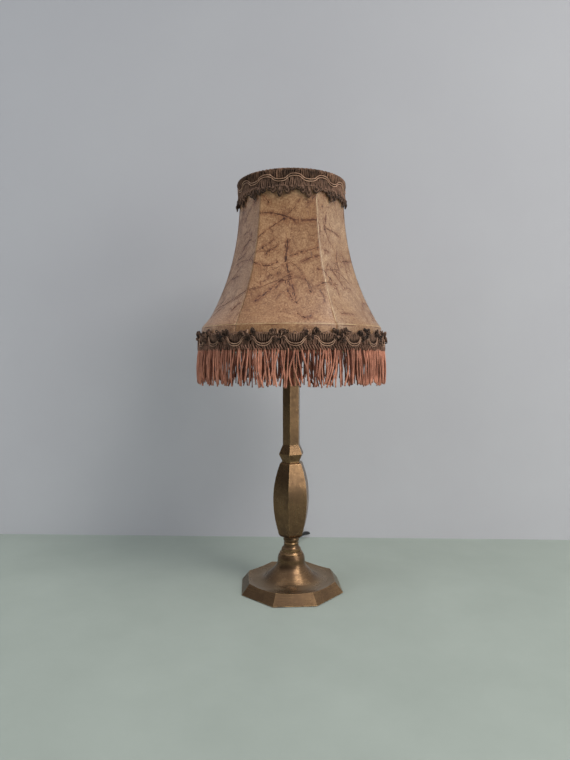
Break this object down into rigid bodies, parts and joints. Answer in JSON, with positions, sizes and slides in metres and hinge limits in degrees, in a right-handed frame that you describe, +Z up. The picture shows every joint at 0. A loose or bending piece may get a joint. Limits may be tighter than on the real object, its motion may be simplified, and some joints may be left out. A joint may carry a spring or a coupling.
{
  "type": "candle lamp with shade",
  "caption": "Aged brass candlestick table lamp with a faceted column and a clip-on bell shade with braid and fringe.",
  "frame": {"origin": "middle of the foot's underside, on the lamp's upright axis", "axes": "+Z up along the column; -Y to the front flat of the octagonal foot; the flex leaves at +Y"},
  "size_m": [0.2007, 0.4139, 0.4285],
  "materials": {
    "brass": "aged antique brass, brown patina with worn highlights",
    "felt": "pressed wool felt",
    "steel": "zinc plated steel",
    "wire": "lacquered iron wire",
    "bakelite": "dark moulded plastic",
    "contact": "bright brass sheet",
    "flex": "black soft sheath",
    "plastic": "black moulded plastic",
    "nickel": "nickel plated pins",
    "glass": "clear glass",
    "cover": "mottled parchment with brown creases",
    "braid": "brown looped gimp braid",
    "fringe": "dusty pink twisted cord fringe"
  },
  "bodies": {
    "lamp": {"base_foot": "brass", "base_felt": "felt", "rod_washer": "steel", "rod_nut": "steel", "threaded_rod": "steel", "neck_spool": "brass", "baluster": "brass", "stem": "brass", "stem_cap": "brass", "holder_base": "bakelite", "holder_shell": "bakelite", "holder_insert": "bakelite", "terminal_screws": "contact", "centre_contact": "contact", "thread_shell": "contact", "inner_flex": "flex", "cord_bush": "flex", "cord_lead": "flex", "cord_tail": "flex", "cord_coil": "flex", "cord_end": "flex", "switch_lower": "plastic", "switch_upper": "plastic", "switch_screws": "steel", "plug_body": "plastic", "plug_pins": "nickel"},
    "bulb": {"bulb_glass": "glass", "bulb_cap": "contact", "bulb_insulator": "bakelite", "bulb_contact": "contact", "bulb_mount": "glass", "bulb_filament": "steel"},
    "clip": {"clip_hub": "steel", "clip_loops": "steel", "clip_rivet": "steel"},
    "swivel": {"swivel_bracket": "steel", "tilt_pin": "steel"},
    "shade": {"shade_spider": "wire", "shade_top_ring": "wire", "shade_gallery_ring": "wire", "shade_bottom_ring": "wire", "shade_ribs": "wire", "top_braid": "braid", "bottom_braid": "braid", "fringe": "fringe", "shade_panel_1": "cover", "shade_panel_2": "cover", "shade_panel_3": "cover", "shade_panel_4": "cover", "shade_panel_5": "cover", "shade_panel_6": "cover"},
    "rocker": {"switch_rocker": "plastic"}
  },
  "joints": [
    {"name": "bulb_unscrew", "type": "hinge", "parent": "lamp", "child": "bulb", "pos_m": [0, 0, 0.284], "axis": [0, 0, 1], "continuous": true},
    {"name": "clip_lift", "type": "slide", "parent": "bulb", "child": "clip", "axis": [0, 0, 1], "range_m": [0, 0.05]},
    {"name": "shade_turn", "type": "hinge", "parent": "clip", "child": "swivel", "pos_m": [0, 0, 0.3654], "axis": [0, 0, 1], "continuous": true},
    {"name": "shade_tilt", "type": "hinge", "parent": "swivel", "child": "shade", "pos_m": [0, 0, 0.3728], "axis": [0, 1, 0], "range_deg": [-12, 12]},
    {"name": "switch_rock", "type": "hinge", "parent": "lamp", "child": "rocker", "pos_m": [0.088, 0.242, 0.014], "axis": [1, 0, 0], "range_deg": [0, 16]}
  ]
}
